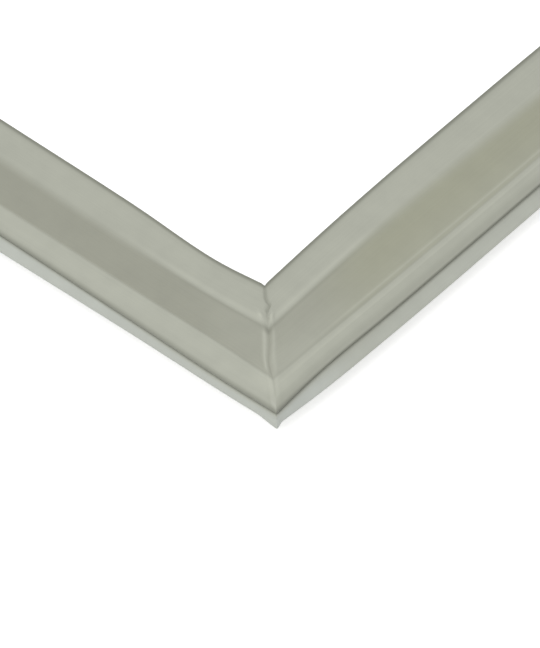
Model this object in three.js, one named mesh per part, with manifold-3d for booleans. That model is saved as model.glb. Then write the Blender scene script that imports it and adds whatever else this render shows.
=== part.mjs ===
// Refrigerator door gasket: a closed rectangular loop of soft PVC profile with a
// magnetic strip in each side. Millimetres, +Z up, lying flat on the tips of its
// darts with the sealing face up. X is the width of the door, Y its height.
// The origin is under the middle of the loop, on the plane that the darts rest on.
//
// A cross-section is drawn in two coordinates: "in" runs inwards from the outer
// edge of the loop, and "up" runs up from the tips of the darts.

import * as THREE from "three";
import { mergeVertices } from "three/addons/utils/BufferGeometryUtils.js";
import Module from "manifold-3d";

const wasm = await Module();
wasm.setup();

// Loop, over the outer edge of the base
const loopWidth = 500;
const loopHeight = 650;

// Dart that pushes into the groove of the door
const dartDepth = 7;
const dartStemWidth = 2.6;
const dartCentreIn = 13;
const dartTipWidth = 1.6;
const headHeight = 2.9;
const headReach = 1.7;
const barbRoot = 4.9;
const barbReach = 2.1;
const barbDepth = 1.6;
const barbSweep = 0.5;
const reliefDepth = 0.2;
const reliefMargin = 0.4;

// Base strip that lies on the door
const baseThickness = 1;
const baseWidth = 25;
const baseEdgeRadius = 0.3;

// Hollow folding part between the base and the magnet pocket
const bellowsHeight = 2.6;
const bellowsWall = 0.7;
const innerFoldReach = 1.5;

// Tight fold between the sloping skirt and the shoulder
const creaseIn = 4.7;
const creaseRise = 2.3;
const membraneWall = 0.6;

// Rounded hollow shoulder along the outer side
const shoulderNoseIn = 3.4;
const shoulderNoseRise = 2.9;
const shoulderWidth = 5.4;
const shoulderCrown = 1.4;
const shoulderWall = 0.7;

// Magnetic strip and the pocket that holds it
const magnetWidth = 10;
const magnetThickness = 2;
const magnetClearance = 0.3;
const magnetEndGap = 6;
const pocketFloor = 0.6;
const pocketCeiling = 0.5;
const pocketSideWall = 0.7;

// Sealing fin along the inner side
const finReach = 10.6;
const finRise = 1.2;
const finSag = 0.4;
const finRootThickness = 1.1;
const finTipThickness = 0.6;

// Heights of the section, from the dart tips up
const baseBottom = dartDepth;
const baseTop = baseBottom + baseThickness;
const pocketBottom = baseTop + bellowsHeight;
const cavityBottom = pocketBottom + pocketFloor;
const cavityTop = cavityBottom + magnetThickness + 2 * magnetClearance;
const faceTop = cavityTop + pocketCeiling;
const noseUp = baseTop + shoulderNoseRise;
const creaseUp = baseTop + creaseRise;

// Distances of the section, from the outer edge in
const faceOuterIn = shoulderNoseIn + shoulderWidth;
const cavityOuterIn = faceOuterIn + pocketSideWall;
const cavityInnerIn = cavityOuterIn + magnetWidth + 2 * magnetClearance;
const faceInnerIn = cavityInnerIn + pocketSideWall;
const finTipIn = faceInnerIn + finReach;

// How finely curves are divided, and how far a cut runs past what it cuts
const curveSteps = 6;
const cutPast = 1;

const softPvc = { color: 0xafb1a4, roughness: 0.5, metalness: 0 };
const ferriteRubber = { color: 0x3a302a, roughness: 0.75, metalness: 0 };

// One side of the dart from the base down: a shallow relief as wide as the barb,
// the stem, the upper barb, the arrow head and the tip.
// side is +1 for the inner side of the stem and -1 for the outer side.
function dartSide(side) {
  const stem = dartStemWidth / 2;
  const reliefReach = stem + barbReach + reliefMargin;
  const steps = [
    [reliefReach, baseBottom],
    [reliefReach - reliefDepth, baseBottom + reliefDepth],
    [stem, baseBottom + reliefDepth],
    [stem, barbRoot],
    [stem + barbReach, barbRoot + barbSweep],
    [stem, barbRoot - barbDepth],
    [stem, headHeight],
    [stem + headReach, headHeight + barbSweep],
    [dartTipWidth / 2, 0],
  ];
  return steps.map(([out, up]) => [dartCentreIn + side * out, up]);
}

// Outer skin of the section, once round: along the base and the dart, up the
// inner fold, round the fin, over the magnet pocket and down the shoulder.
function outerSkin() {
  const shape = new THREE.Shape();
  const dart = [...dartSide(-1), ...dartSide(1).reverse()];
  const edgeUp = baseBottom + baseThickness / 2;
  shape.moveTo(baseEdgeRadius, baseBottom);
  dart.forEach(([inwards, up]) => shape.lineTo(inwards, up));
  shape.lineTo(baseWidth - baseEdgeRadius, baseBottom);
  shape.quadraticCurveTo(
    baseWidth + baseEdgeRadius,
    edgeUp,
    baseWidth - baseEdgeRadius,
    baseTop,
  );
  shape.lineTo(faceInnerIn, baseTop);
  innerFold(shape, 0, baseTop, pocketBottom);
  shape.lineTo(faceInnerIn, faceTop - finRootThickness);
  finOutline(shape);
  shape.lineTo(faceOuterIn, faceTop);
  shoulderCurve(shape, 0);
  shape.lineTo(creaseIn, creaseUp);
  shape.lineTo(baseEdgeRadius, baseTop);
  shape.quadraticCurveTo(-baseEdgeRadius, edgeUp, baseEdgeRadius, baseBottom);
  return shape;
}

// The fold of the bellows towards the middle of the loop, set back by inset.
function innerFold(path, inset, from, to) {
  path.quadraticCurveTo(
    faceInnerIn + 2 * innerFoldReach - inset,
    (from + to) / 2,
    faceInnerIn - inset,
    to,
  );
}

// The fin: its underside out to the round tip, and its top back to the pocket.
// It bows down by finSag between the pocket and its raised tip.
function finOutline(shape) {
  const tipUp = faceTop + finRise;
  const middleIn = (faceInnerIn + finTipIn) / 2;
  const middleUp = faceTop + finRise / 2 - finSag;
  const middleThickness = (finRootThickness + finTipThickness) / 2;
  shape.quadraticCurveTo(
    middleIn,
    middleUp - middleThickness,
    finTipIn,
    tipUp - finTipThickness,
  );
  shape.quadraticCurveTo(
    finTipIn + finTipThickness,
    tipUp - finTipThickness / 2,
    finTipIn,
    tipUp,
  );
  shape.quadraticCurveTo(middleIn, middleUp, faceInnerIn, faceTop);
}

// The shoulder from the face down to its nose, set back from the skin by inset.
function shoulderCurve(shape, inset) {
  shape.quadraticCurveTo(
    shoulderNoseIn + inset,
    faceTop - shoulderCrown - inset / 2,
    shoulderNoseIn + inset,
    noseUp,
  );
}

// The pocket that the magnetic strip slides into.
function pocketHole() {
  const hole = new THREE.Shape();
  hole.moveTo(cavityOuterIn, cavityBottom);
  hole.lineTo(cavityInnerIn, cavityBottom);
  hole.lineTo(cavityInnerIn, cavityTop);
  hole.lineTo(cavityOuterIn, cavityTop);
  return hole;
}

// The air chamber inside the shoulder.
function shoulderHole() {
  const hole = new THREE.Shape();
  hole.moveTo(shoulderNoseIn + shoulderWall, noseUp);
  hole.lineTo(faceOuterIn, cavityBottom);
  hole.lineTo(faceOuterIn, faceTop - shoulderWall);
  shoulderCurve(hole, shoulderWall);
  return hole;
}

// The air chamber of the bellows, under the pocket and behind the skirt.
function bellowsHole() {
  const hole = new THREE.Shape();
  const skirtRun = (bellowsWall * creaseIn) / creaseRise;
  hole.moveTo(baseEdgeRadius + skirtRun, baseTop);
  hole.lineTo(faceInnerIn - bellowsWall, baseTop);
  innerFold(hole, bellowsWall, baseTop, pocketBottom);
  hole.lineTo(faceOuterIn, pocketBottom);
  hole.lineTo(creaseIn + membraneWall, creaseUp - membraneWall);
  return hole;
}

// A section carried along X, in the frame of the loop, on its -Y side. Both ends
// are cut at 45 degrees, so a point lies nearer to the middle the further in it is.
// past is how far both ends run on beyond the corners of the loop.
function mitredBar(shape, length, across, past) {
  const geometry = new THREE.ExtrudeGeometry(shape, {
    depth: 1,
    steps: 1,
    bevelEnabled: false,
    curveSegments: curveSteps,
  });
  const points = geometry.attributes.position;
  for (let i = 0; i < points.count; i += 1) {
    const inwards = points.getX(i);
    const up = points.getY(i);
    const end = points.getZ(i) > 0.5 ? 1 : -1;
    points.setXYZ(i, end * (length / 2 - inwards + past), inwards - across / 2, up);
  }
  return geometry;
}

function solidOf(geometry) {
  geometry.deleteAttribute("normal");
  geometry.deleteAttribute("uv");
  const merged = mergeVertices(geometry);
  const vertProperties = merged.attributes.position.array;
  const triVerts = new Uint32Array(merged.index.array);
  return new wasm.Manifold(new wasm.Mesh({ numProp: 3, vertProperties, triVerts }));
}

function geometryOf(solid) {
  const { vertProperties, triVerts } = solid.getMesh();
  const shared = new THREE.BufferGeometry();
  shared.setAttribute("position", new THREE.BufferAttribute(vertProperties, 3));
  shared.setIndex(new THREE.BufferAttribute(triVerts, 1));
  const geometry = shared.toNonIndexed();
  geometry.computeVertexNormals();
  return geometry;
}

// One length of profile: its skin, with the three hollows open at both ends. The
// end faces of two neighbours are the same face, where they are welded.
function profileLength(length, across) {
  const hollows = [pocketHole(), shoulderHole(), bellowsHole()];
  let solid = solidOf(mitredBar(outerSkin(), length, across, 0));
  for (const hollow of hollows)
    solid = solid.subtract(solidOf(mitredBar(hollow, length, across, cutPast)));
  return geometryOf(solid);
}

// One magnetic strip, in the pocket of the same length. It stops short of the
// mitred ends, where the profile is welded.
function magneticStrip(length, across) {
  const halfLength = length / 2 - cavityInnerIn - magnetEndGap;
  const geometry = new THREE.BoxGeometry(2 * halfLength, magnetWidth, magnetThickness);
  geometry.translate(
    0,
    (cavityOuterIn + cavityInnerIn - across) / 2,
    (cavityBottom + cavityTop) / 2,
  );
  return geometry;
}

function piece(name, geometry, finish, turns) {
  const mesh = new THREE.Mesh(geometry, new THREE.MeshStandardMaterial(finish));
  mesh.name = name;
  mesh.rotation.z = (turns * Math.PI) / 2;
  return mesh;
}

// The four sides, each with its number of quarter turns from the -Y side.
const sides = [
  { name: "bottom", turns: 0, length: loopWidth, across: loopHeight },
  { name: "handle_side", turns: 1, length: loopHeight, across: loopWidth },
  { name: "top", turns: 2, length: loopWidth, across: loopHeight },
  { name: "hinge_side", turns: 3, length: loopHeight, across: loopWidth },
];

const gasket = new THREE.Group();
for (const { name, turns, length, across } of sides) {
  const profile = profileLength(length, across);
  const strip = magneticStrip(length, across);
  gasket.add(piece(name + "_profile", profile, softPvc, turns));
  gasket.add(piece(name + "_magnet_strip", strip, ferriteRubber, turns));
}

export default gasket;
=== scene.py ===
"""Refrigerator door gasket: the look of its extruded PVC lengths, their welds and the light.

Sizes are millimetres, as on a drawing of the profile, until a mesh, a light or a pattern
is made: MM turns them to metres. A place on the profile is "inwards", the distance in
from the outer edge of the loop, and "up", the height above the tips of the darts. A place
on a length is "along", measured from its middle, and "far", the distance from its nearer
mitre. "off" is that distance square to the mitre line.
"""

import math
from types import SimpleNamespace

import bpy
import numpy as np
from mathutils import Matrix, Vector
from mathutils.geometry import delaunay_2d_cdt


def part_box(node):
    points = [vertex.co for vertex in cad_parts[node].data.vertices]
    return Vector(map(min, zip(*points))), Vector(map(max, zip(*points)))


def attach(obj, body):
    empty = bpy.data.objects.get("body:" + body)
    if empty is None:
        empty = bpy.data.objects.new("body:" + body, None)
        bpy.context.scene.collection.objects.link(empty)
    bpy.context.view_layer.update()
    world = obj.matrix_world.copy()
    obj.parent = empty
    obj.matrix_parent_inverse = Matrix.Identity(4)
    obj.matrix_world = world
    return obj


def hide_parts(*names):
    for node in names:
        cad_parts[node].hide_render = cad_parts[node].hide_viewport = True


MM = 0.001
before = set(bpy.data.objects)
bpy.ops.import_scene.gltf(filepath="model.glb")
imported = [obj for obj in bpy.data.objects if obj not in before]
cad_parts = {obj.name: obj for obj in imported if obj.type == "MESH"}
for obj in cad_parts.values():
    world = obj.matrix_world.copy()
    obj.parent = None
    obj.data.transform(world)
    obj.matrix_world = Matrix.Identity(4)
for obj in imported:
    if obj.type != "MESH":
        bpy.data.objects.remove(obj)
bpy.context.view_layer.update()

# The loop, from the frame
HALF_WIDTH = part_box("handle_side_profile")[1][0] / MM
HALF_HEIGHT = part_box("top_profile")[1][1] / MM

# Base strip and the dart under it
BASE_BOTTOM = 7.0
BASE_TOP = 8.0
BASE_INNER = 25.0
BASE_ROUND = 0.3
DART_IN = 13.0
STEM = 1.3
BARB_ROOT = 4.9
BARB_REACH = 3.4
BARB_DEPTH = 1.6
HEAD_UP = 2.9
HEAD_REACH = 3.0
SWEEP = 0.5
TIP = 0.8
RELIEF_REACH = 3.8
RELIEF = 0.2

# Bellows, shoulder, pocket and fin
CREASE = (4.7, 10.3)
NOSE = (3.4, 10.9)
POCKET_BOTTOM = 10.6
FACE_UP = 14.3
FACE_OUTER = 8.8
FACE_INNER = 20.8
CROWN = 1.4
FOLD_REACH = 3.0
FIN_TIP = 31.4
FIN_RISE = 0.9
FIN_SAG = 0.35
FIN_ROOT_THICK = 1.1
FIN_TIP_THICK = 0.6

# Hollows, and the magnetic strip in one of them
WALL = 0.7
MEMBRANE = 0.6
CAVITY_SIDES = (9.5, 20.1)
CAVITY_HEIGHTS = (11.2, 13.8)
STRIP_EDGES = (9.8, 19.8)
STRIP_ROOM = 0.1

# Spacing of the points on straight stretches of the section
BASE_STEP = 1.2
WALL_STEP = 0.8
SKIRT_STEP = 0.5
FACE_STEP = 0.4
EDGE_STEP = 0.12
EDGE_STRETCH = 1.4

# Weld: a pressed line with a bead on each side of it, lumps and a pit where it passes the
# foot of the fin, and flash squeezed out at the outer tip
GROOVE_DEPTH = 0.12
GROOVE_HALF = 0.3
BEAD_HEIGHT = 0.2
BEAD_OFF = 1.2
BEAD_HALF = 0.55
LUMP_HEIGHT = 0.35
LUMP_IN = 22.9
PIT_DEPTH = 0.18
PIT_IN = 20.3
BOW = 0.5
BOW_IN = 13.0
KINK = 0.6
KINK_IN = 26.3
FLASH = 0.75

# Lines of the section whose creep is given: base edge, nose, both edges of the face, fin.
# The creep is in mm inwards, at each of these distances from the weld.
LINES = (0.0, 3.5, FACE_OUTER, FACE_INNER, FIN_TIP)
CREEP_FAR = (0.0, 15.0, 45.0, 95.0, 180.0)

# The two kinds of length. The photograph shows a short one on its left and a long one on
# its right: they have sagged, yellowed and been pressed differently, and they take painted
# light and shade differently, as they face the light differently.
SHORT = SimpleNamespace(
    creep={
        "base": (2.9, 2.55, 2.4, 1.6, 0.8),
        "nose": (0.0, -0.3, -0.1, 0.3, 0.1),
        "outer": (0.3, 0.7, 0.45, 0.3, 0.2),
        "inner": (1.1, 0.1, -0.4, 0.5, 0.4),
        "fin": (0.4, -1.1, -0.2, 0.5, 0.3),
    },
    die_lines=((9.25, -0.09, 0.3),),
    die_fade=(2.0, 8.0),
    ripple_phase=0.4,
    bow_sign=-1.0,
    lump_off=1.9,
    flash_end=7.0,
    bead_on_shoulder=1.0,
    magnet_and_shade_strength=1.0,
    painted_shade_across_magnet=0.0,
    painted_shadow_on_magnet_at_weld=0.0,
    bead_over_magnet=0.7,
    bead_highlight=0.4,
    shoulder_highlight=1.0,
    yellowed=0.0,
    drawn=0.0,
    skirt_light_share=0.78,
    skirt_light_more_at_weld=0.0,
    nose_dark_up=12.5,
    nose_darker_at_weld=0.0,
    fold_darker_at_weld=0.0,
    shoulder_foot=0.08,
)
LONG = SimpleNamespace(
    creep={
        "base": (2.9, 1.7, 0.75, 0.3, 0.4),
        "nose": (0.0, 0.85, 0.45, 0.1, 0.1),
        "outer": (0.3, 0.1, -0.4, -1.0, -0.4),
        "inner": (1.1, 1.6, 2.1, 1.3, 0.8),
        "fin": (0.4, 1.1, 1.85, 1.75, 0.8),
    },
    die_lines=((9.0, -0.10, 0.25), (9.8, 0.06, 0.25), (10.7, -0.09, 0.25)),
    die_fade=(12.0, 45.0),
    ripple_phase=1.7,
    bow_sign=1.0,
    lump_off=1.0,
    flash_end=2.4,
    bead_on_shoulder=0.25,
    magnet_and_shade_strength=0.78,
    painted_shade_across_magnet=0.3,
    painted_shadow_on_magnet_at_weld=0.45,
    bead_over_magnet=0.35,
    bead_highlight=0.25,
    shoulder_highlight=0.5,
    yellowed=0.55,
    drawn=1.0,
    skirt_light_share=0.4,
    skirt_light_more_at_weld=0.7,
    nose_dark_up=11.9,
    nose_darker_at_weld=0.5,
    fold_darker_at_weld=0.2,
    shoulder_foot=0.16,
)

# The four lengths: quarter turns from the one along the bottom of the door, and kind
LENGTHS = {
    "bottom": (0, SHORT),
    "handle_side": (1, LONG),
    "top": (2, SHORT),
    "hinge_side": (3, LONG),
}

# What tints the plastic, in the order it is laid on, and the plain plastic under it. The
# magnet shows through with painted shade over it; then come yellowing, painted light on the
# skirt, painted highlights and painted shade.
PLAIN_PVC = "#afb1a4"
SHADES = {
    "magnet_and_painted_shade": "#9b9c8e",
    "yellowed": "#9fa085",
    "skirt_painted_light": "#bcc0b9",
    "painted_highlight": "#bfc1b3",
    "painted_shade": "#727467",
}
FERRITE_DARK = "#332a25"
FERRITE_LIGHT = "#463a33"

# Sizes of the patterns, in mm. Die lines and grain are nearer to 0.1 mm on real PVC, and
# ferrite powder is finer still: they are drawn as coarse as they need to be to show.
STREAK_LENGTH = 80.0
STREAK_WIDTH = 0.4
CLOUD_SIZE = 6.0
GRAIN_SIZE = 0.4
POWDER_SIZE = 0.5
PVC_RELIEF = 0.06
FERRITE_RELIEF = 0.1

# Camera, from the photograph's framing
VIEW_AZIMUTH = 40.75
VIEW_ELEVATION = 47.3
LENS = 300.0
SENSOR = 36.0
IMAGE = (540, 648)
PIXELS_PER_MM = 4.0
CORNER_PIXEL = (277.9, 427.7)
CORNER_UP = 11.0

# Studio, in metres and watts
FLOOR_REACH = 6.0
FLOOR_COLOUR = "#ededed"
FLOOR_GLOW = 0.6
SKY_LIGHT = 0.55
KEY_PLACE = (0.6, -1.55, 2.3)
KEY_SIZE = 1.6
KEY_POWER = 33.0


def smooth(value, low, high):
    """Smooth step: 0 below low, 1 above high, three t squared less two t cubed between."""
    t = np.clip((value - low) / (high - low), 0.0, 1.0)
    return t * t * (3.0 - 2.0 * t)


def bump(value, centre, half):
    """Bell curve: e to the minus square of the distance from centre over half."""
    return np.exp(-(((value - centre) / half) ** 2))


def line(start, end, count):
    """Points on the straight line from start up to, and without, end."""
    t = np.arange(count)[:, None] / count
    return (1.0 - t) * np.array(start) + t * np.array(end)


def curve(start, control, end, count):
    """Quadratic Bezier points from start up to, and without, end."""
    t = np.arange(count)[:, None] / count
    start, control, end = (np.array(p, float) for p in (start, control, end))
    return (1 - t) ** 2 * start + 2 * t * (1 - t) * control + t**2 * end


def chain(corners, spacing):
    """Straight stretches through the corners, each cut to about the spacing."""
    parts = []
    for a, b in zip(corners[:-1], corners[1:]):
        count = max(1, round(math.dist(a, b) / spacing))
        parts.append(line(a, b, count))
    return np.concatenate(parts)


def dart_side(side):
    """Corners of one side of the dart, from the base down to the tip."""
    steps = (
        (RELIEF_REACH, BASE_BOTTOM),
        (RELIEF_REACH - RELIEF, BASE_BOTTOM + RELIEF),
        (STEM, BASE_BOTTOM + RELIEF),
        (STEM, BARB_ROOT),
        (BARB_REACH, BARB_ROOT + SWEEP),
        (STEM, BARB_ROOT - BARB_DEPTH),
        (STEM, HEAD_UP),
        (HEAD_REACH, HEAD_UP + SWEEP),
        (TIP, 0.0),
    )
    return [(DART_IN + side * out, up) for out, up in steps]


def base_and_dart():
    """From the base's outer edge under it, round the dart, to the foot of the bellows."""
    start = (BASE_ROUND, BASE_BOTTOM)
    low = (BASE_INNER - BASE_ROUND, BASE_BOTTOM)
    high = (BASE_INNER - BASE_ROUND, BASE_TOP)
    round_edge = (BASE_INNER + BASE_ROUND, (BASE_BOTTOM + BASE_TOP) / 2)
    corners = [start, *dart_side(-1), *dart_side(1)[::-1], low]
    return [
        chain(corners, BASE_STEP),
        curve(low, round_edge, high, 4),
        chain([high, (FACE_INNER, BASE_TOP)], BASE_STEP),
    ]


def bellows_and_fin():
    """Up the inner fold, out under the fin, round its tip and back over it to the face."""
    fold_foot = (FACE_INNER, BASE_TOP)
    fold_head = (FACE_INNER, POCKET_BOTTOM)
    fold_out = (FACE_INNER + FOLD_REACH, (BASE_TOP + POCKET_BOTTOM) / 2)
    fin_under = (FACE_INNER, FACE_UP - FIN_ROOT_THICK)
    tip_up = FACE_UP + FIN_RISE
    tip_low = (FIN_TIP, tip_up - FIN_TIP_THICK)
    tip_side = (FIN_TIP + FIN_TIP_THICK, tip_up - FIN_TIP_THICK / 2)
    tip_top = (FIN_TIP, tip_up)
    middle = (FACE_INNER + FIN_TIP) / 2
    middle_up = FACE_UP + FIN_RISE / 2 - FIN_SAG
    middle_thick = (FIN_ROOT_THICK + FIN_TIP_THICK) / 2
    return [
        curve(fold_foot, fold_out, fold_head, 10),
        chain([fold_head, fin_under], WALL_STEP),
        curve(fin_under, (middle, middle_up - middle_thick), tip_low, 14),
        curve(tip_low, tip_side, tip_top, 6),
        curve(tip_top, (middle, middle_up), (FACE_INNER, FACE_UP), 30),
    ]


def face_and_shoulder():
    """Over the face, down the shoulder to the crease, and down the skirt to the base."""
    face_in = (FACE_INNER, FACE_UP)
    face_fine = (FACE_OUTER + EDGE_STRETCH, FACE_UP)
    face_out = (FACE_OUTER, FACE_UP)
    skirt_foot = (BASE_ROUND, BASE_TOP)
    start = (BASE_ROUND, BASE_BOTTOM)
    round_edge = (-BASE_ROUND, (BASE_BOTTOM + BASE_TOP) / 2)
    return [
        chain([face_in, face_fine], FACE_STEP),
        chain([face_fine, face_out], EDGE_STEP),
        curve(face_out, (NOSE[0], FACE_UP - CROWN), NOSE, 40),
        curve(NOSE, (NOSE[0], CREASE[1] + 0.1), CREASE, 5),
        chain([CREASE, skirt_foot], SKIRT_STEP),
        curve(skirt_foot, round_edge, start, 5),
    ]


def outer_skin():
    """The section's outside, once round and anticlockwise, from the base's outer edge."""
    return np.concatenate(base_and_dart() + bellows_and_fin() + face_and_shoulder())


def pocket_hollow():
    """The pocket that the magnetic strip lies in."""
    (outer, inner), (low, high) = CAVITY_SIDES, CAVITY_HEIGHTS
    return np.array([(outer, low), (inner, low), (inner, high), (outer, high)])


def shoulder_hollow():
    """The air chamber inside the shoulder, one wall inside its skin."""
    nose = (NOSE[0] + WALL, NOSE[1])
    low = (FACE_OUTER, CAVITY_HEIGHTS[0])
    high = (FACE_OUTER, FACE_UP - WALL)
    crown = (nose[0], FACE_UP - CROWN - WALL / 2)
    return np.concatenate([line(nose, low, 3), line(low, high, 2), curve(high, crown, nose, 8)])


def bellows_hollow():
    """The air chamber between the base and the pocket, inside the skirt and the fold."""
    run = BASE_ROUND + WALL * CREASE[0] / (CREASE[1] - BASE_TOP)
    skirt = (run, BASE_TOP)
    fold_foot = (FACE_INNER - WALL, BASE_TOP)
    fold_head = (FACE_INNER - WALL, POCKET_BOTTOM)
    fold_out = (FACE_INNER - WALL + FOLD_REACH, (BASE_TOP + POCKET_BOTTOM) / 2)
    under_face = (FACE_OUTER, POCKET_BOTTOM)
    crease = (CREASE[0] + MEMBRANE, CREASE[1] - MEMBRANE)
    return np.concatenate(
        [
            line(skirt, fold_foot, 6),
            curve(fold_foot, fold_out, fold_head, 6),
            line(fold_head, under_face, 4),
            line(under_face, crease, 3),
            line(crease, skirt, 2),
        ]
    )


def distances():
    """Distances of the stations from a mitre: close together at the weld, then wider."""
    steps = (
        np.arange(0.0, 4.5, 0.15),
        np.arange(4.5, 12.0, 0.5),
        np.arange(12.0, 40.0, 2.0),
        np.arange(40.0, 125.0, 5.0),
    )
    return np.concatenate(steps)


def stations(section, half_length):
    """Grids of the place along the length and of the distance from the nearer mitre.

    A point's place is half the length, less how far in it is, less its distance from
    the mitre; past the last distance, twelve equal steps run to the middle.
    """
    near = distances()
    reach = half_length - section[:, 0][:, None]
    close = reach - near[None, :]
    share = np.arange(1, 13)[None, :] / 12.0
    rest = (reach - near[-1]) * (1.0 - share)
    half = np.concatenate([close, rest], axis=1)
    along = np.concatenate([-half, half[:, -2::-1]], axis=1)
    return along, reach - np.abs(along)


def spline(far, places, values):
    """Smooth curve through the values at their places, level past the last one.

    Cubic Hermite: between two places the values are blended by (1 + 2t) times (1 - t)
    squared and its mirror image, and the slopes by t times (1 - t) squared and its.
    """
    places, values = np.array(places), np.array(values)
    slopes = np.gradient(values, places)
    k = np.clip(np.searchsorted(places, far) - 1, 0, len(places) - 2)
    span = places[k + 1] - places[k]
    t = np.clip((far - places[k]) / span, 0.0, 1.0)
    start = (1.0 + 2.0 * t) * (1.0 - t) ** 2 * values[k] + t * (1.0 - t) ** 2 * span * slopes[k]
    end = t**2 * (3.0 - 2.0 * t) * values[k + 1] - t**2 * (1.0 - t) * span * slopes[k + 1]
    return start + end


def creep(inwards, up, far, rows):
    """How far a point has crept: the five lines' creep, shared by the nearer two.

    The dart and the middle of the base stay where they are drawn.
    """
    total = np.zeros(np.broadcast(inwards, far).shape)
    for place, row in enumerate(rows.values()):
        hat = np.zeros(len(LINES))
        hat[place] = 1.0
        total += np.interp(inwards, LINES, hat) * spline(far, CREEP_FAR, row)
    held = np.maximum(smooth(up, 7.4, 9.0), 1.0 - smooth(inwards, 2.0, 6.0))
    return total * held


def clear_of_strip(inwards, moved):
    """The pocket's side walls, held off the magnetic strip, which hasn't crept."""
    outer = np.minimum(moved, STRIP_EDGES[0] - STRIP_ROOM)
    inner = np.maximum(moved, STRIP_EDGES[1] + STRIP_ROOM)
    return np.where(inwards < DART_IN, outer, inner)


def weld_lump(inwards, off, kind):
    """The squeezed-out lump at the foot of the fin, 1 at its top and 0 around it."""
    return bump(inwards, LUMP_IN, 1.0) * bump(off, kind.lump_off, 0.7)


def weld_relief(inwards, far, kind):
    """Height of the weld: beads and lumps beside the mitre, less a groove and a pit on it.

    Each is a bell across the mitre. The groove is deeper and wider on the fin, where
    there is no bead, and the bead may be weaker on the shoulder.
    """
    off = far / math.sqrt(2.0)
    fin = smooth(inwards, 22.0, 24.5)
    share = kind.bead_on_shoulder + (1.0 - kind.bead_on_shoulder) * smooth(inwards, 8.5, 11.0)
    bead = BEAD_HEIGHT * (1.0 - fin) * share * bump(off, BEAD_OFF, BEAD_HALF)
    lump = LUMP_HEIGHT * weld_lump(inwards, off, kind)
    groove = GROOVE_DEPTH * (1.0 + 1.4 * fin) * bump(off, 0.0, GROOVE_HALF + 0.18 * fin)
    pit = PIT_DEPTH * bump(inwards, PIT_IN, 0.8) * bump(off, 0.0, 0.7)
    return smooth(off, 0.0, 0.4) * (bead + lump) - groove - pit


def weld_wander(inwards, far):
    """How far the mitre line strays along each axis, a long bow less a short kink."""
    bow = BOW * bump(inwards, BOW_IN, 3.5) * (1.0 - smooth(far, 0.0, 6.0))
    kink = KINK * bump(inwards, KINK_IN, 0.9) * (1.0 - smooth(far, 0.0, 3.0))
    return bow - kink


def die_lines(inwards, far, kind):
    """Height of the fine lines that the die leaves beside the pocket, each a bell."""
    total = sum(height * bump(inwards, place, half) for place, height, half in kind.die_lines)
    return total * smooth(far, *kind.die_fade)


def fin_ripple(inwards, along, far, kind):
    """Height of the fin's slow ripple: two sine waves that grow towards its tip."""
    wave = 0.16 * np.sin(along / 31.0 + kind.ripple_phase)
    wave = wave + 0.1 * np.sin(along / 13.0 + 2.0 * kind.ripple_phase)
    return wave * smooth(inwards, FACE_INNER, FIN_TIP) * smooth(far, 3.0, 25.0)


def shape(section, along, far, kind, pocket):
    """Bends a drawn section into the crept, welded one.

    section is a column of (inwards, up); along and far are grids. Returns along, inwards
    and up. What moves a point inwards moves it as far away from its end too, so that the
    mitre stays at 45 degrees.
    """
    inwards = section[:, 0][:, None]
    up = section[:, 1][:, None]
    end = np.where(along >= 0.0, 1.0, -1.0)
    moved = inwards + creep(inwards, up, far, kind.creep)
    if pocket:
        moved = clear_of_strip(inwards, moved)
    flash = (1.0 - smooth(far, 0.2, kind.flash_end)) * (1.0 - smooth(inwards, 0.4, 1.6))
    moved = moved - FLASH * flash
    wander = weld_wander(inwards, far) * kind.bow_sign
    on_top = smooth(up, 10.4, 11.4) * np.ones_like(far)
    lift = fin_ripple(inwards, along, far, kind)
    lift = lift + on_top * weld_relief(inwards, far, kind)
    lift = lift + on_top * die_lines(inwards, far, kind)
    return along + end * (inwards - moved) + end * wander, moved + wander, up + lift


def on_face_skin(up, far):
    """1 on the skin that faces up, 0 on what lies lower."""
    return smooth(up, 13.0, 13.6) * np.ones_like(far)


def weld_ridge(inwards, up, far):
    """1 along the beads beside the mitre, where they cross the flat face."""
    across = smooth(inwards, 9.5, 11.0) * (1.0 - smooth(inwards, 18.5, 20.0))
    bead = bump(far / math.sqrt(2.0), BEAD_OFF, BEAD_HALF)
    return across * on_face_skin(up, far) * bead


def magnet_and_shade_tint(inwards, up, far, kind):
    """The dark strip behind the face, with painted shade laid over the same band: a band between
    the shoulder and the fin.

    Its inner edge is sharp near the weld and soft further on. It is fainter under the thicker
    beads, partly as a painted highlight on them, and, on a long side, towards the shoulder, as
    painted shade across the face that grows inwards; there it also takes a painted shadow near
    the weld. Its strength on each kind of length is partly painted shade as well.
    """
    soft = 0.5 + 1.6 * smooth(far, 12.0, 50.0)
    outer = smooth(inwards, FACE_OUTER - 0.2, FACE_OUTER + 0.9)
    inner = 1.0 - smooth(inwards, FACE_INNER - soft, FACE_INNER + soft)
    strength = kind.magnet_and_shade_strength * (0.6 + 0.45 * smooth(far, 4.0, 40.0))
    at_weld = (1.0 - smooth(far, 6.0, 40.0)) * smooth(inwards, 11.5, 18.0)
    across = 1.0 - kind.painted_shade_across_magnet * (1.0 - smooth(inwards, 9.5, 17.0))
    across = across + kind.painted_shadow_on_magnet_at_weld * at_weld
    under_bead = 1.0 - kind.bead_over_magnet * weld_ridge(inwards, up, far)
    return on_face_skin(up, far) * outer * inner * strength * under_bead * across


def skirt_painted_light_tint(inwards, up, far, kind):
    """Painted light on the thin skirt and the base's edge, which let light through: paler and
    cooler.
    """
    near = 1.0 - smooth(far, 25.0, 55.0)
    low = (1.0 - smooth(up, 9.3, 10.2)) * (1.0 - smooth(inwards, 4.0, 6.0))
    share = kind.skirt_light_share + kind.skirt_light_more_at_weld * (1.0 - smooth(far, 8.0, 35.0))
    return low * share * (1.0 - 0.5 * near * smooth(inwards, 1.5, 3.5))


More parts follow.
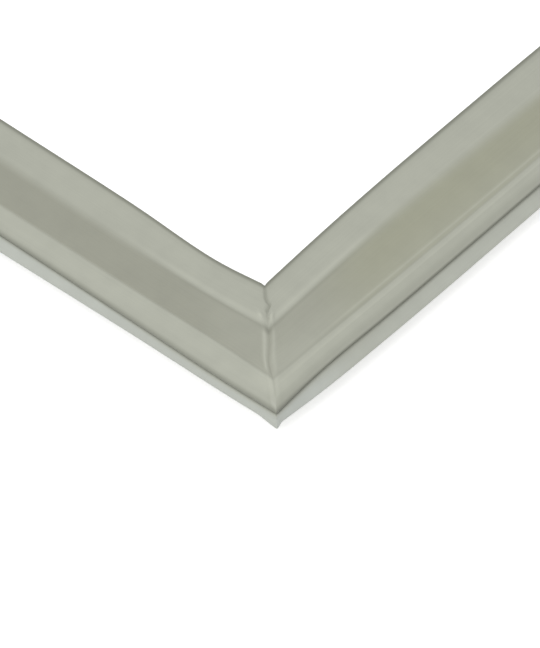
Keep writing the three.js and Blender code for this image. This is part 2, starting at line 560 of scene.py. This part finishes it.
def painted_highlight_tint(inwards, up, far, kind):
    """Painted highlights: raised edges, the weld's beads and lumps, the shoulder beside the weld,
    and lines drawn by the die.
    """
    off = far / math.sqrt(2.0)
    near = 1.0 - smooth(far, 25.0, 55.0)
    foot = 0.45 * near * bump(inwards, FACE_INNER + 1.4, 0.8)
    ridge = kind.bead_highlight * weld_ridge(inwards, up, far)
    lump = 0.9 * weld_lump(inwards, off, kind)
    beside = 0.4 * bump(off, 2.2, 2.6) + 0.5 * bump(off, 0.7, 0.6)
    shoulder = kind.shoulder_highlight * bump(inwards, 7.6, 2.0) * beside
    drawn = 0.38 * bump(inwards, 10.2, 0.4) * smooth(far, 8.0, 40.0)
    drawn = kind.drawn * (drawn + 0.32 * bump(inwards, 7.7, 0.6))
    pale = np.maximum.reduce([foot, ridge, lump, shoulder, drawn * np.ones_like(far)])
    return pale * smooth(up, 12.5, 13.4)


def crease_shade(inwards, up, far, kind):
    """1 in the fold between skirt and shoulder, where little light comes in."""
    at_weld = 1.0 - smooth(far, 0.0, 22.0)
    skirt = smooth(inwards, 3.5, 4.3) * (1.0 - smooth(up, 10.3, 10.6)) * smooth(up, 8.5, 9.5)
    nose_top = kind.nose_dark_up + kind.nose_darker_at_weld * at_weld
    nose = (1.0 - smooth(up, 11.0, nose_top)) * smooth(up, 10.2, 10.3) * (inwards <= CREASE[0])
    return (0.75 + kind.fold_darker_at_weld * at_weld) * np.maximum(skirt, nose)


def painted_shade_tint(inwards, up, far, kind):
    """Painted shade: in the crease, on the fin's edge where it turns from the light, at the foot
    of the shoulder and the face's edges, in the weld's groove and pit, and along die lines.
    """
    off = far / math.sqrt(2.0)
    near = 1.0 - smooth(far, 25.0, 55.0)
    top = on_face_skin(up, far)
    fin_edge = smooth(inwards, FIN_TIP - 1.3, FIN_TIP - 0.1) + 0.12 * smooth(inwards, 28.5, 30.5)
    folds = np.maximum(crease_shade(inwards, up, far, kind), 0.75 * fin_edge)
    shoulder = (1.0 - smooth(inwards, 4.2, 6.3)) * smooth(up, 11.5, 12.0)
    folds = folds + kind.shoulder_foot * shoulder
    lines = 0.1 * bump(inwards, 9.1, 0.25) + 0.06 * bump(inwards, 7.0, 0.25)
    face_edges = 0.2 * bump(inwards, FACE_INNER - 0.5, 0.45)
    face_edges = face_edges + 0.15 * bump(inwards, FACE_OUTER + 0.5, 0.35)
    drawn = near * face_edges + kind.drawn * smooth(far, 8.0, 40.0) * lines
    on_fin = smooth(inwards, 24.0, 25.0) * top
    seam = bump(off, 0.0, 0.28 + 0.3 * on_fin) * (0.13 + 0.29 * on_fin) * top
    pit = 0.42 * bump(inwards, PIT_IN - 0.1, 1.0) * bump(off, 0.0, 0.9) * top
    return np.maximum.reduce([folds + drawn * top, seam, pit])


def tints(section, far, kind):
    """How strongly each effect colours each point, as grids named as in SHADES."""
    place = (section[:, 0][:, None], section[:, 1][:, None], far, kind)
    # magnet is the magnet showing through, with painted shade over the same band
    magnet = magnet_and_shade_tint(*place)
    return {
        "magnet_and_painted_shade": magnet,
        "yellowed": kind.yellowed * magnet * smooth(far, 12.0, 45.0),
        "skirt_painted_light": skirt_painted_light_tint(*place),
        "painted_highlight": painted_highlight_tint(*place),
        "painted_shade": painted_shade_tint(*place),
    }


def girth(section):
    """Distance round the section from its first point to each point."""
    steps = np.diff(section, axis=0)
    return np.concatenate([[0.0], np.cumsum(np.hypot(steps[:, 0], steps[:, 1]))])


def sheet_faces(rows, columns, first, inside):
    """Quads between neighbouring points of a closed section and neighbouring stations."""
    i, j = np.meshgrid(np.arange(rows), np.arange(columns - 1), indexing="ij")
    a = first + i * columns + j
    b = first + (i + 1) % rows * columns + j
    quads = np.stack([a, b, b + 1, a + 1], axis=-1).reshape(-1, 4)
    return quads[:, ::-1] if inside else quads


def cap_triangles(outlines):
    """Triangles over the section's solid part, numbered as the outlines follow on."""
    points = [Vector(p) for outline in outlines for p in outline]
    edges = []
    first = 0
    for outline in outlines:
        count = len(outline)
        edges += [(first + k, first + (k + 1) % count) for k in range(count)]
        first += count
    keep_holes_open = 4
    same_point = 1e-7
    result = delaunay_2d_cdt(points, edges, [], keep_holes_open, same_point)
    names = [origin[0] for origin in result[3]]
    return np.array([[names[v] for v in face] for face in result[2]])


def mitred_length(kind, half_length, half_across):
    """Points, faces, flat places and tints of one length, lying on the -Y side.

    The skin and the three hollows are each carried along the length, and the solid part
    of the section closes both mitred ends.
    """
    outlines = [outer_skin(), pocket_hollow(), shoulder_hollow(), bellows_hollow()]
    points, quads, flat, rims = [], [], [], []
    shades = {key: [] for key in SHADES}
    first = 0
    for number, section in enumerate(outlines):
        along, far = stations(section, half_length)
        rows, columns = along.shape
        x, inwards, up = shape(section, along, far, kind, pocket=number == 1)
        points.append(np.stack([x, inwards - half_across, up], axis=-1).reshape(-1, 3))
        quads.append(sheet_faces(rows, columns, first, inside=number > 0))
        flat.append(np.stack([x.ravel(), np.repeat(girth(section), columns)], axis=-1))
        for key, grid in tints(section, far, kind).items():
            shades[key].append((grid * (number == 0)).ravel())
        rims.append(first + np.arange(rows) * columns)
        first += rows * columns
    begin = np.concatenate(rims)
    last = begin + columns - 1
    caps = cap_triangles(outlines)
    faces = np.concatenate(quads).tolist() + last[caps].tolist() + begin[caps][:, ::-1].tolist()
    shades = {key: np.concatenate(parts) for key, parts in shades.items()}
    return np.concatenate(points), faces, np.concatenate(flat), shades


def quarter_turned(points, turns):
    """Points turned anticlockwise about Z by a number of quarter turns."""
    across, ahead = ((1, 0), (0, 1), (-1, 0), (0, -1))[turns]
    turn = np.array([[across, -ahead, 0], [ahead, across, 0], [0, 0, 1]])
    return points @ turn.T


def profile_mesh(name, turns, kind):
    """One PVC length as an object, with its flat places as UVs and its tints."""
    reach = (HALF_HEIGHT, HALF_WIDTH) if kind is LONG else (HALF_WIDTH, HALF_HEIGHT)
    points, faces, flat, shades = mitred_length(kind, *reach)
    mesh = bpy.data.meshes.new(name)
    mesh.from_pydata((quarter_turned(points, turns) * MM).tolist(), [], faces)
    corners = np.empty(len(mesh.loops), np.int32)
    mesh.loops.foreach_get("vertex_index", corners)
    layer = mesh.uv_layers.new(name="along_and_round")
    layer.data.foreach_set("uv", (flat * MM)[corners].ravel())
    for key, values in shades.items():
        attribute = mesh.attributes.new(key, "FLOAT", "POINT")
        attribute.data.foreach_set("value", values)
    mesh.polygons.foreach_set("use_smooth", np.ones(len(mesh.polygons), bool))
    mesh.set_sharp_from_angle(angle=math.radians(32.0))
    mesh.validate()
    piece = bpy.data.objects.new(name, mesh)
    bpy.context.scene.collection.objects.link(piece)
    return piece


def linear(hex_colour):
    """sRGB hex to linear: divide by 12.92 near black, else the 2.4 power of the rest."""
    parts = [int(hex_colour[i : i + 2], 16) / 255 for i in (1, 3, 5)]
    lit = [v / 12.92 if v <= 0.04045 else ((v + 0.055) / 1.055) ** 2.4 for v in parts]
    return (*lit, 1.0)


def per_metre(size):
    """How often a pattern of a size in mm repeats in a metre."""
    return 1.0 / (size * MM)


def add(tree, kind, links=(), values=(), **settings):
    """Adds a node with its settings, its sockets' own values and its links."""
    node = tree.nodes.new(kind)
    for name, setting in settings.items():
        setattr(node, name, setting)
    for socket, value in dict(values).items():
        node.inputs[socket].default_value = value
    for socket, source in dict(links).items():
        tree.links.new(source, node.inputs[socket])
    return node


def new_material(name):
    """An empty node material and its tree."""
    material = bpy.data.materials.new(name)
    material.use_nodes = True
    material.node_tree.nodes.clear()
    return material, material.node_tree


def tinted_pvc(tree):
    """The plain plastic's colour with each tint laid over it by its attribute."""
    colour = None
    for attribute, hex_colour in SHADES.items():
        amount = add(tree, "ShaderNodeAttribute", attribute_name=attribute).outputs["Fac"]
        links = {0: amount}
        if colour:
            links[6] = colour
        colours = {6: linear(PLAIN_PVC), 7: linear(hex_colour)}
        colour = add(tree, "ShaderNodeMix", links, colours, data_type="RGBA").outputs[2]
    return colour


def soft_pvc():
    """Extruded soft PVC, grey-green: satin, with fine lines drawn along it by the die.

    The brown magnet shows faintly through the thin wall over its pocket, with painted shade laid
    over the same band; painted light makes the thin skirt paler and cooler, painted highlights
    lighten raised edges, beads and die lines, and painted shade darkens folds, the fin's edge,
    the weld's groove and the die lines. Slow clouds and the die's streaks vary the colour by a
    few per cent.
    """
    material, tree = new_material("extruded_soft_pvc")
    flat = add(tree, "ShaderNodeUVMap", uv_map="along_and_round").outputs["UV"]
    stretch = {"Scale": (per_metre(STREAK_LENGTH), per_metre(STREAK_WIDTH), 1.0)}
    drawn = add(tree, "ShaderNodeMapping", {"Vector": flat}, stretch).outputs["Vector"]
    place = add(tree, "ShaderNodeTexCoord").outputs["Object"]
    streaks, mottle, grain = [
        add(tree, "ShaderNodeTexNoise", {"Vector": where}, {"Scale": scale, "Detail": detail})
        for where, scale, detail in (
            (drawn, 1.0, 3.0),
            (place, per_metre(CLOUD_SIZE), 4.0),
            (place, per_metre(GRAIN_SIZE), 2.0),
        )
    ]
    clouds, lines, rough = [
        add(
            tree,
            "ShaderNodeMapRange",
            {"Value": noise.outputs["Fac"]},
            {"From Min": 0.3, "From Max": 0.7, "To Min": low, "To Max": high},
        ).outputs["Result"]
        for noise, low, high in ((mottle, 0.97, 1.03), (streaks, 0.98, 1.02), (mottle, 0.42, 0.54))
    ]
    both = add(tree, "ShaderNodeMath", {0: clouds, 1: lines}, operation="MULTIPLY")
    toned = add(
        tree,
        "ShaderNodeVectorMath",
        {0: tinted_pvc(tree), 1: both.outputs[0]},
        operation="MULTIPLY",
    )
    marks = {0: streaks.outputs["Fac"], 1: grain.outputs["Fac"]}
    height = add(tree, "ShaderNodeMath", marks, operation="ADD")
    relief = add(
        tree,
        "ShaderNodeBump",
        {"Height": height.outputs[0]},
        {"Strength": 0.25, "Distance": PVC_RELIEF * MM},
    )
    surface = add(
        tree,
        "ShaderNodeBsdfPrincipled",
        {"Base Color": toned.outputs[0], "Roughness": rough, "Normal": relief.outputs["Normal"]},
        {"IOR": 1.53},
    )
    add(tree, "ShaderNodeOutputMaterial", {"Surface": surface.outputs[0]})
    return material


def ferrite_rubber():
    """Flexible magnet of ferrite powder in rubber: calendered, matt and dark brown."""
    material, tree = new_material("flexible_ferrite_magnet")
    place = add(tree, "ShaderNodeTexCoord").outputs["Object"]
    grit = {"Scale": per_metre(POWDER_SIZE), "Detail": 3.0}
    powder = add(tree, "ShaderNodeTexNoise", {"Vector": place}, grit).outputs["Fac"]
    colours = {6: linear(FERRITE_DARK), 7: linear(FERRITE_LIGHT)}
    mix = add(tree, "ShaderNodeMix", {0: powder}, colours, data_type="RGBA")
    depth = {"Strength": 0.3, "Distance": FERRITE_RELIEF * MM}
    relief = add(tree, "ShaderNodeBump", {"Height": powder}, depth)
    surface = add(
        tree,
        "ShaderNodeBsdfPrincipled",
        {"Base Color": mix.outputs[2], "Normal": relief.outputs["Normal"]},
        {"Roughness": 0.8},
    )
    add(tree, "ShaderNodeOutputMaterial", {"Surface": surface.outputs[0]})
    return material


def looked_at(tree):
    """1 where the camera, a mirror or glass sees the surroundings, 0 for their light."""
    path = add(tree, "ShaderNodeLightPath").outputs
    seen = path["Is Camera Ray"]
    for ray in ("Is Glossy Ray", "Is Transmission Ray"):
        seen = add(tree, "ShaderNodeMath", {0: seen, 1: path[ray]}, operation="MAXIMUM").outputs[0]
    return seen


def pale_floor():
    """Matt white paint that still takes the shadow, and looks white where it is lit."""
    material, tree = new_material("pale_floor")
    matt = add(tree, "ShaderNodeBsdfDiffuse", values={"Color": linear(FLOOR_COLOUR)}).outputs[0]
    glow = add(tree, "ShaderNodeEmission", values={"Strength": FLOOR_GLOW}).outputs[0]
    both = add(tree, "ShaderNodeAddShader", {0: matt, 1: glow}).outputs[0]
    mix = add(tree, "ShaderNodeMixShader", {0: looked_at(tree), 1: matt, 2: both})
    add(tree, "ShaderNodeOutputMaterial", {"Surface": mix.outputs[0]})
    return material


def dress_profiles():
    """Replaces each CAD length with its crept, welded and finished mesh."""
    pvc = soft_pvc()
    for side, (turns, kind) in LENGTHS.items():
        piece = profile_mesh("pvc_length_" + side, turns, kind)
        piece.data.materials.append(pvc)
        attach(piece, "root")
        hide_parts(side + "_profile")


def dress_magnets():
    """Gives the magnetic strips in the pockets their finish."""
    ferrite = ferrite_rubber()
    for side in LENGTHS:
        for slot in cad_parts[side + "_magnet_strip"].material_slots:
            slot.material = ferrite


def floor():
    """A plain pale floor that the dart tips rest on."""
    mesh = bpy.data.meshes.new("floor")
    signs = ((-1, -1), (1, -1), (1, 1), (-1, 1))
    corners = [(x * FLOOR_REACH, y * FLOOR_REACH, 0.0) for x, y in signs]
    mesh.from_pydata(corners, [], [(0, 1, 2, 3)])
    mesh.materials.append(pale_floor())
    plane = bpy.data.objects.new("floor", mesh)
    bpy.context.scene.collection.objects.link(plane)


def sky():
    """White surroundings: soft light from all sides, white where they are looked at."""
    world = bpy.data.worlds.new("studio")
    world.use_nodes = True
    tree = world.node_tree
    tree.nodes.clear()
    white = (1.0, 1.0, 1.0, 1.0)
    light, seen = [
        add(tree, "ShaderNodeBackground", values={"Color": white, "Strength": strength}).outputs[0]
        for strength in (SKY_LIGHT, 1.0)
    ]
    mix = add(tree, "ShaderNodeMixShader", {0: looked_at(tree), 1: light, 2: seen})
    add(tree, "ShaderNodeOutputWorld", {"Surface": mix.outputs[0]})
    bpy.context.scene.world = world


def aimed(thing, place, away):
    """Puts a lamp or camera at a place in metres, with its back to the direction away."""
    thing.location = place
    thing.rotation_mode = "QUATERNION"
    thing.rotation_quaternion = away.to_track_quat("Z", "Y")
    bpy.context.scene.collection.objects.link(thing)


def key_light():
    """A square softbox, aimed at the photographed corner."""
    data = bpy.data.lights.new("key", "AREA")
    data.shape = "SQUARE"
    data.size = KEY_SIZE
    data.energy = KEY_POWER
    corner = Vector((HALF_WIDTH, -HALF_HEIGHT, 0.0)) * MM
    aimed(bpy.data.objects.new("key", data), KEY_PLACE, Vector(KEY_PLACE) - corner)


def camera():
    """A long lens at the photograph's angle, placed so the corner falls on its pixel."""
    a, e = math.radians(VIEW_AZIMUTH), math.radians(VIEW_ELEVATION)
    back = Vector((math.sin(a) * math.cos(e), -math.cos(a) * math.cos(e), math.sin(e)))
    right = Vector((math.cos(a), math.sin(a), 0.0))
    up = back.cross(right)
    corner = Vector((HALF_WIDTH, -HALF_HEIGHT, CORNER_UP))
    aside = (CORNER_PIXEL[0] - IMAGE[0] / 2) / PIXELS_PER_MM
    below = (CORNER_PIXEL[1] - IMAGE[1] / 2) / PIXELS_PER_MM
    target = corner - right * aside + up * below
    distance = LENS / SENSOR * IMAGE[1] / PIXELS_PER_MM
    data = bpy.data.cameras.new("camera")
    data.lens = LENS
    data.sensor_width = SENSOR
    data.clip_start = 0.1
    data.clip_end = 50.0
    eye = bpy.data.objects.new("camera", data)
    aimed(eye, (target + back * distance) * MM, back)
    bpy.context.scene.camera = eye


def main():
    """Puts the gasket, its floor, the light and the camera together."""
    bpy.context.scene.view_settings.view_transform = "Standard"
    dress_profiles()
    dress_magnets()
    floor()
    sky()
    key_light()
    camera()


main()
